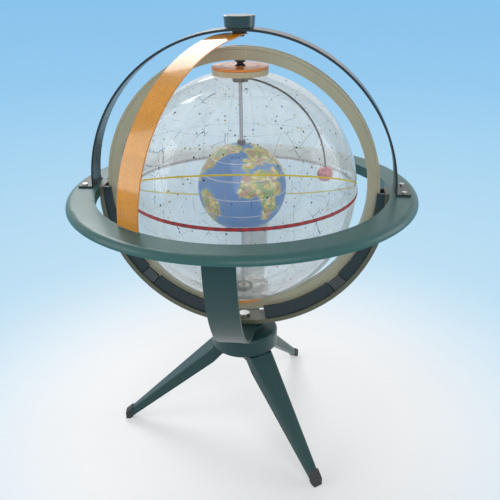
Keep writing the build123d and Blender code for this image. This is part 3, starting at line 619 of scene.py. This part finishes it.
class GlobeLook(bpy.types.PropertyGroup):
    """Colours and strengths a user would change."""

    stand: bpy.props.FloatVectorProperty(
        name="Stand enamel", description="Colour of the legs, hub and yoke", subtype="COLOR",
        default=(0.012, 0.052, 0.052), min=0.0, max=1.0,
    )
    ring: bpy.props.FloatVectorProperty(
        name="Horizon enamel", description="Colour of the horizon ring", subtype="COLOR",
        default=(0.032, 0.115, 0.108), min=0.0, max=1.0,
    )
    slate: bpy.props.FloatVectorProperty(
        name="Rail enamel", description="Colour of the rails and the zenith arch", subtype="COLOR",
        default=(0.020, 0.034, 0.038), min=0.0, max=1.0,
    )
    olive: bpy.props.FloatVectorProperty(
        name="Channel enamel", description="Colour of the channel floor", subtype="COLOR",
        default=(0.115, 0.120, 0.080), min=0.0, max=1.0,
    )
    cream: bpy.props.FloatVectorProperty(
        name="Meridian plastic", description="Colour of the meridian ring", subtype="COLOR",
        default=(0.400, 0.385, 0.270), min=0.0, max=1.0,
    )
    amber: bpy.props.FloatVectorProperty(
        name="Quadrant amber", description="Colour of the altitude quadrant", subtype="COLOR",
        default=(0.860, 0.410, 0.020), min=0.0, max=1.0,
    )
    orange: bpy.props.FloatVectorProperty(
        name="Dial orange", description="Colour of the hour dials", subtype="COLOR",
        default=(0.720, 0.230, 0.030), min=0.0, max=1.0,
    )
    haze: bpy.props.FloatProperty(
        name="Haze", description="How milky the clear globe is", subtype="FACTOR",
        default=0.36, min=0.0, max=1.0,
    )
    earth_turn: bpy.props.FloatProperty(
        name="Earth turn", description="Where the zero meridian of the map starts, in degrees",
        default=-72.0,
    )


class GlobeStudio(bpy.types.PropertyGroup):
    """Camera and lamps."""

    distance: bpy.props.FloatProperty(
        name="Camera distance", description="From the axis to the camera",
        subtype="DISTANCE", unit="LENGTH", default=0.835,
    )
    rise: bpy.props.FloatProperty(
        name="Camera rise", description="Camera height above the horizon ring",
        subtype="DISTANCE", unit="LENGTH", default=0.280,
    )
    turn: bpy.props.FloatProperty(
        name="Camera turn", description="Degrees round the axis from the front", default=7.5,
    )
    pitch: bpy.props.FloatProperty(
        name="Camera pitch", description="Degrees the camera looks down", default=24.1,
    )
    roll: bpy.props.FloatProperty(
        name="Camera roll", description="Degrees about the line of sight", default=-0.7,
    )
    yaw: bpy.props.FloatProperty(
        name="Camera yaw", description="Degrees to the right of the axis", default=0.65,
    )
    focus: bpy.props.FloatProperty(
        name="Focal length in pixels", description="For a picture 500 pixels wide", default=652.0,
    )
    light: bpy.props.FloatProperty(
        name="Lamp level", description="Multiplies every lamp", default=1.0, min=0.0,
    )


class GLOBE_OT_stand(bpy.types.Operator):
    """Enamels the legs, hub, yoke and saddle, and finishes the foot tips and fastenings"""

    bl_idname = "globe.stand"
    bl_label = "Stand"

    def execute(self, context):
        paint = enamel("stand_enamel", look().stand, 0.36, wear=0.0009, edge_wear_and_highlight=3.2)
        coat_nodes(paint, "leg_1", "leg_2", "leg_3", "hub_drum", "yoke", "yoke_saddle")
        coat_nodes(rubber("foot_rubber"), "foot_tip_1", "foot_tip_2", "foot_tip_3")
        steel = bare_steel("fastening_steel")
        coat_nodes(steel, "leg_screws", "pivot_bolt", "nut_washer", "pivot_nut", "yoke_screws",
                   "channel_screws", "block_screws", "nadir_spacer", "arch_screws")
        dark = moulded("washer_plastic", (0.03, 0.032, 0.034), 0.4)
        coat_nodes(dark, "swivel_washer", "zenith_washer")
        return {"FINISHED"}


class GLOBE_OT_horizon(bpy.types.Operator):
    """Enamels the horizon ring and prints its graduation"""

    bl_idname = "globe.horizon"
    bl_label = "Horizon ring"

    def execute(self, context):
        bore = ring_high.x - RING_WIDTH
        marks = ring_ticks(bore + 0.0012, bore + 0.007, 1.0, 0.0005)
        paint = enamel("horizon_enamel", look().ring, 0.34, wear=0.0016, edge_wear_and_highlight=1.9, ticks=marks)
        coat_nodes(paint, "horizon_ring")
        return {"FINISHED"}


class GLOBE_OT_channel(bpy.types.Operator):
    """Finishes the guide channel, its rails and its support blocks"""

    bl_idname = "globe.channel"
    bl_label = "Guide channel"

    def execute(self, context):
        # The edge factor of 6.5 paints bright highlight lines along the rail edges, on top of their wear.
        rails = enamel("rail_enamel", look().slate, 0.34, wear=0.0009, edge_wear_and_highlight=6.5)
        coat_nodes(rails, "front_rails", "back_rails")
        channel = enamel("channel_enamel", look().olive, 0.4, wear=0.0008, edge_wear_and_highlight=1.8)
        coat_nodes(channel, "channel_floor")
        blocks = moulded("block_plastic", (0.05, 0.06, 0.06), 0.4, edge_wear_and_highlight=3.0)
        coat_nodes(blocks, "support_block_left", "support_block_right")
        return {"FINISHED"}


class GLOBE_OT_arch(bpy.types.Operator):
    """Finishes the zenith arch, its pivot and the clamp knob"""

    bl_idname = "globe.arch"
    bl_label = "Zenith arch"

    def execute(self, context):
        strap = enamel("arch_enamel", (0.030, 0.036, 0.036), 0.26, wear=0.0006, edge_wear_and_highlight=2.5)
        coat_nodes(strap, "zenith_arch")
        coat_nodes(enamel("pivot_enamel", (0.02, 0.02, 0.02), 0.3), "zenith_screw")
        knob = moulded("knob_plastic", (0.020, 0.045, 0.038), 0.24, 0.2, 3.0, coat=0.4)
        coat_nodes(knob, "zenith_knob")
        return {"FINISHED"}


class GLOBE_OT_quadrant(bpy.types.Operator):
    """Gives the altitude quadrant its amber plastic"""

    bl_idname = "globe.quadrant"
    bl_label = "Altitude quadrant"

    def execute(self, context):
        coat_nodes(amber_sheet("amber_plastic", look()), "altitude_quadrant")
        return {"FINISHED"}


class GLOBE_OT_meridian(bpy.types.Operator):
    """Finishes the meridian ring and the pieces at its poles"""

    bl_idname = "globe.meridian"
    bl_label = "Meridian ring"

    def execute(self, context):
        cream = moulded("meridian_plastic", look().cream, 0.36, 0.08, 1.5, wear=0.0009)
        coat_nodes(cream, "meridian_ring_left", "meridian_ring_right")
        black = moulded("spindle_plastic", (0.014, 0.014, 0.016), 0.28, edge_wear_and_highlight=3.0, coat=0.3)
        coat_nodes(black, "north_bush", "south_bush", "north_knob", "south_knob", "north_inner_nut",
                   "south_inner_nut", "earth_collars", "sun_hub")
        return {"FINISHED"}


class GLOBE_OT_dials(bpy.types.Operator):
    """Colours the hour dials and collars and prints the hours"""

    bl_idname = "globe.dials"
    bl_label = "Hour dials"

    def execute(self, context):
        marks = ring_ticks(0.0285, 0.0345, 3.75, 0.0004)
        orange = moulded("dial_plastic", look().orange, 0.3, 0.1, 1.5, wear=0.0006, coat=0.3, ticks=marks)
        coat_nodes(orange, "north_hour_dial", "south_hour_dial")
        beige = moulded("collar_plastic", (0.50, 0.42, 0.27), 0.4, 0.08, 1.2)
        coat_nodes(beige, "north_collar", "south_collar")
        ink = moulded("hour_ink", (0.05, 0.03, 0.02), 0.5)
        for name, body, side in (("north_hours", "north_dial", 1), ("south_hours", "south_dial", -1)):
            height = dial_high.z if side > 0 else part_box("south_hour_dial")[0].z
            hours = self.numbers(name, height, side)
            hours.data.materials.append(ink)
            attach(hours, body)
        return {"FINISHED"}

    def numbers(self, name, height, side):
        made = []
        for hour in range(1, HOURS + 1):
            text = bpy.data.curves.new(f"{name}_{hour}", "FONT")
            text.body = str(hour)
            text.size = HOUR_HEIGHT
            text.align_x = "CENTER"
            text.align_y = "CENTER"
            text.resolution_u = 2
            label = bpy.data.objects.new(f"{name}_{hour}", text)
            bpy.context.collection.objects.link(label)
            angle = side * math.radians(360.0 / HOURS * hour)
            spin = Matrix.Rotation(angle - math.pi / 2, 4, "Z")
            flip = Matrix.Rotation(0.0 if side > 0 else math.pi, 4, "Y")
            across, along = HOUR_CIRCLE * math.cos(angle), HOUR_CIRCLE * math.sin(angle)
            place = Vector((across, along, height + side * INK_THICKNESS))
            label.matrix_world = Matrix.Translation(place) @ spin @ flip
            made.append(label)
        bpy.context.view_layer.update()
        work = bmesh.new()
        for label in made:
            mesh = bpy.data.meshes.new_from_object(label)
            mesh.transform(label.matrix_world)
            work.from_mesh(mesh)
            bpy.data.meshes.remove(mesh)
            bpy.data.objects.remove(label)
        mesh = bpy.data.meshes.new(name)
        work.to_mesh(mesh)
        work.free()
        piece = bpy.data.objects.new(name, mesh)
        bpy.context.collection.objects.link(piece)
        return piece


class GLOBE_OT_globe(bpy.types.Operator):
    """Turns the two clear halves smoothly and prints the star map and the equator tape"""

    bl_idname = "globe.globe"
    bl_label = "Clear globe"

    def execute(self, context):
        material = printed_globe("printed_clear_plastic", look())
        for name, side in (("north", 1), ("south", -1)):
            inner = GLOBE_RADIUS - GLOBE_WALL
            shell = half_shell(f"{name}_clear_half", GLOBE_RADIUS, inner, GLOBE_HOLE, side)
            shell.data.materials.append(material)
            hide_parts(f"{name}_hemisphere")
            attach(shell, "sphere")
        coat_nodes(tape("equator_tape"), "equator_band")
        return {"FINISHED"}


class GLOBE_OT_earth(bpy.types.Operator):
    """Turns the Earth smoothly, prints its map and finishes its rod"""

    bl_idname = "globe.earth"
    bl_label = "Earth"

    def execute(self, context):
        material = printed_earth("printed_earth", look())
        for name, side in (("north", 1), ("south", -1)):
            inner = EARTH_RADIUS - EARTH_WALL
            shell = half_shell(f"{name}_earth_map", EARTH_RADIUS, inner, EARTH_HOLE, side, 128, 32)
            shell.data.materials.append(material)
            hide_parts(f"{name}_earth_half")
            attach(shell, "earth")
        coat_nodes(bare_steel("rod_steel", (0.52, 0.50, 0.53), 0.3), "axis_rod", "sun_sleeve")
        return {"FINISHED"}


class GLOBE_OT_sun(bpy.types.Operator):
    """Paints the Sun and its wire"""

    bl_idname = "globe.sun"
    bl_label = "Sun"

    def execute(self, context):
        coat_nodes(painted_sun("sun_paint"), "sun_ball")
        coat_nodes(enamel("wire_enamel", (0.015, 0.015, 0.015), 0.3, wear=0.0003), "sun_arm")
        return {"FINISHED"}


class GLOBE_OT_stage(bpy.types.Operator):
    """Lays the pale floor, hangs the lamps and sets the camera at the photographed angle"""

    bl_idname = "globe.stage"
    bl_label = "Studio"

    def execute(self, context):
        self.floor()
        self.world()
        level = studio().light
        for name, place, power, size in LAMPS:
            self.lamp(name, place, power * level, size)
        self.camera()
        return {"FINISHED"}

    def floor(self):
        mesh = bpy.data.meshes.new("floor")
        reach = FLOOR_REACH
        corners = [(-reach, -reach, 0), (reach, -reach, 0), (reach, reach, 0), (-reach, reach, 0)]
        mesh.from_pydata(corners, [], [(0, 1, 2, 3)])
        sheet = bpy.data.objects.new("floor", mesh)
        bpy.context.collection.objects.link(sheet)
        recipe = Recipe("floor_paper")
        where = recipe.place()
        fibre = recipe.noise(where, 160.0, 4.0)
        colour = recipe.blend(fibre, rgba(0.93, 0.935, 0.94), rgba(0.96, 0.963, 0.966))
        paper = recipe.surface(colour, 0.9, recipe.bump(fibre, 0.0002, 0.2))
        away = recipe.vector("LENGTH", recipe.vector("MULTIPLY", where, (1.0, 1.0, 0.0)))
        decades = recipe.math("ADD", recipe.math("LOGARITHM", away, 10.0), 0.6)
        steps = recipe.math("MULTIPLY", decades, 0.4545)
        tint = recipe.ramp(steps, (
            (0.0, rgba(0.96, 0.965, 0.97)), (0.08, rgba(0.76, 0.87, 0.95)), (0.19, rgba(0.53, 0.75, 0.905)),
            (0.33, rgba(0.43, 0.69, 0.89)), (0.49, rgba(0.31, 0.60, 0.87)), (0.63, rgba(0.27, 0.56, 0.85)),
            (0.96, rgba(0.227, 0.527, 0.84)),
        ))
        glow = recipe.add("ShaderNodeEmission")
        recipe.feed(glow.inputs["Color"], tint)
        path = recipe.add("ShaderNodeLightPath")
        seen = recipe.any_of(path.outputs["Is Camera Ray"], path.outputs["Is Glossy Ray"],
                             path.outputs["Is Transmission Ray"])
        share = recipe.math("MULTIPLY", seen, recipe.fade(away, 0.2, 0.55, 0.35, 1.0))
        mesh.materials.append(recipe.finish(recipe.mixed(share, paper, glow.outputs[0])))

    def world(self):
        world = bpy.data.worlds.new("studio")
        world.use_nodes = True
        bpy.context.scene.world = world
        tree = world.node_tree
        tree.nodes.clear()
        path = tree.nodes.new("ShaderNodeLightPath")
        seen = tree.nodes.new("ShaderNodeMath")
        seen.operation = "MAXIMUM"
        tree.links.new(path.outputs["Is Camera Ray"], seen.inputs[0])
        tree.links.new(path.outputs["Is Transmission Ray"], seen.inputs[1])
        seen_too = tree.nodes.new("ShaderNodeMath")
        seen_too.operation = "MAXIMUM"
        tree.links.new(seen.outputs[0], seen_too.inputs[0])
        tree.links.new(path.outputs["Is Glossy Ray"], seen_too.inputs[1])
        plain = tree.nodes.new("ShaderNodeBackground")
        plain.inputs["Color"].default_value = rgba(0.93, 0.96, 1.0)
        plain.inputs["Strength"].default_value = 0.42
        pale = tree.nodes.new("ShaderNodeBackground")
        pale.inputs["Color"].default_value = rgba(0.93, 0.965, 1.0)
        pale.inputs["Strength"].default_value = 0.96
        mix = tree.nodes.new("ShaderNodeMixShader")
        tree.links.new(seen_too.outputs[0], mix.inputs[0])
        tree.links.new(plain.outputs[0], mix.inputs[1])
        tree.links.new(pale.outputs[0], mix.inputs[2])
        output = tree.nodes.new("ShaderNodeOutputWorld")
        tree.links.new(mix.outputs[0], output.inputs[0])

    def lamp(self, name, place, power, size):
        data = bpy.data.lights.new(name, "AREA")
        data.shape = "RECTANGLE"
        data.size, data.size_y = size
        data.energy = power
        lamp = bpy.data.objects.new(name, data)
        bpy.context.collection.objects.link(lamp)
        lamp.location = place
        lamp.rotation_euler = (GLOBE_CENTRE - Vector(place)).to_track_quat("-Z", "Y").to_euler()

    def camera(self):
        view = studio()
        data = bpy.data.cameras.new("photo_camera")
        camera = bpy.data.objects.new("photo_camera", data)
        bpy.context.collection.objects.link(camera)
        yaw, pitch, roll = (math.radians(angle) for angle in (view.yaw, view.pitch, view.roll))
        level = math.cos(pitch)
        forward = Vector((math.sin(yaw) * level, math.cos(yaw) * level, -math.sin(pitch)))
        right = Vector((math.cos(yaw), -math.sin(yaw), 0.0))
        top = right.cross(forward)
        tilted_right = right * math.cos(roll) + top * math.sin(roll)
        tilted_top = top * math.cos(roll) - right * math.sin(roll)
        basis = Matrix((tilted_right, tilted_top, -forward)).transposed().to_4x4()
        round_axis = Matrix.Rotation(math.radians(view.turn), 4, "Z")
        place = Matrix.Translation((0.0, -view.distance, GLOBE_CENTRE.z + view.rise))
        camera.matrix_world = round_axis @ place @ basis
        data.sensor_width = SENSOR_WIDTH
        data.lens = SENSOR_WIDTH * view.focus / PICTURE_WIDTH
        data.clip_start = 0.05
        data.clip_end = 150.0
        bpy.context.scene.camera = camera


class GLOBE_PT_panel(bpy.types.Panel):
    """Lists the pieces of the globe and the values that a user would change"""

    bl_idname = "GLOBE_PT_panel"
    bl_label = "Celestial globe"
    bl_space_type = "VIEW_3D"
    bl_region_type = "UI"
    bl_category = "Globe"

    def draw(self, context):
        for step in STEPS:
            self.layout.operator(step.bl_idname)
        for group in (context.scene.globe_look, context.scene.globe_studio):
            box = self.layout.box()
            for name in group.__annotations__:
                box.prop(group, name)


STEPS = (GLOBE_OT_stand, GLOBE_OT_horizon, GLOBE_OT_channel, GLOBE_OT_arch, GLOBE_OT_quadrant,
         GLOBE_OT_meridian, GLOBE_OT_dials, GLOBE_OT_globe, GLOBE_OT_earth, GLOBE_OT_sun, GLOBE_OT_stage)
CLASSES = (GlobeLook, GlobeStudio, *STEPS, GLOBE_PT_panel)


def register():
    for item in CLASSES:
        bpy.utils.register_class(item)
    bpy.types.Scene.globe_look = bpy.props.PointerProperty(type=GlobeLook)
    bpy.types.Scene.globe_studio = bpy.props.PointerProperty(type=GlobeStudio)


def unregister():
    del bpy.types.Scene.globe_studio
    del bpy.types.Scene.globe_look
    for item in reversed(CLASSES):
        bpy.utils.unregister_class(item)


def main():
    register()
    bpy.context.scene.view_settings.view_transform = "Standard"
    for step in STEPS:
        group, name = step.bl_idname.split(".")
        getattr(getattr(bpy.ops, group), name)()


if __name__ == "__main__":
    main()
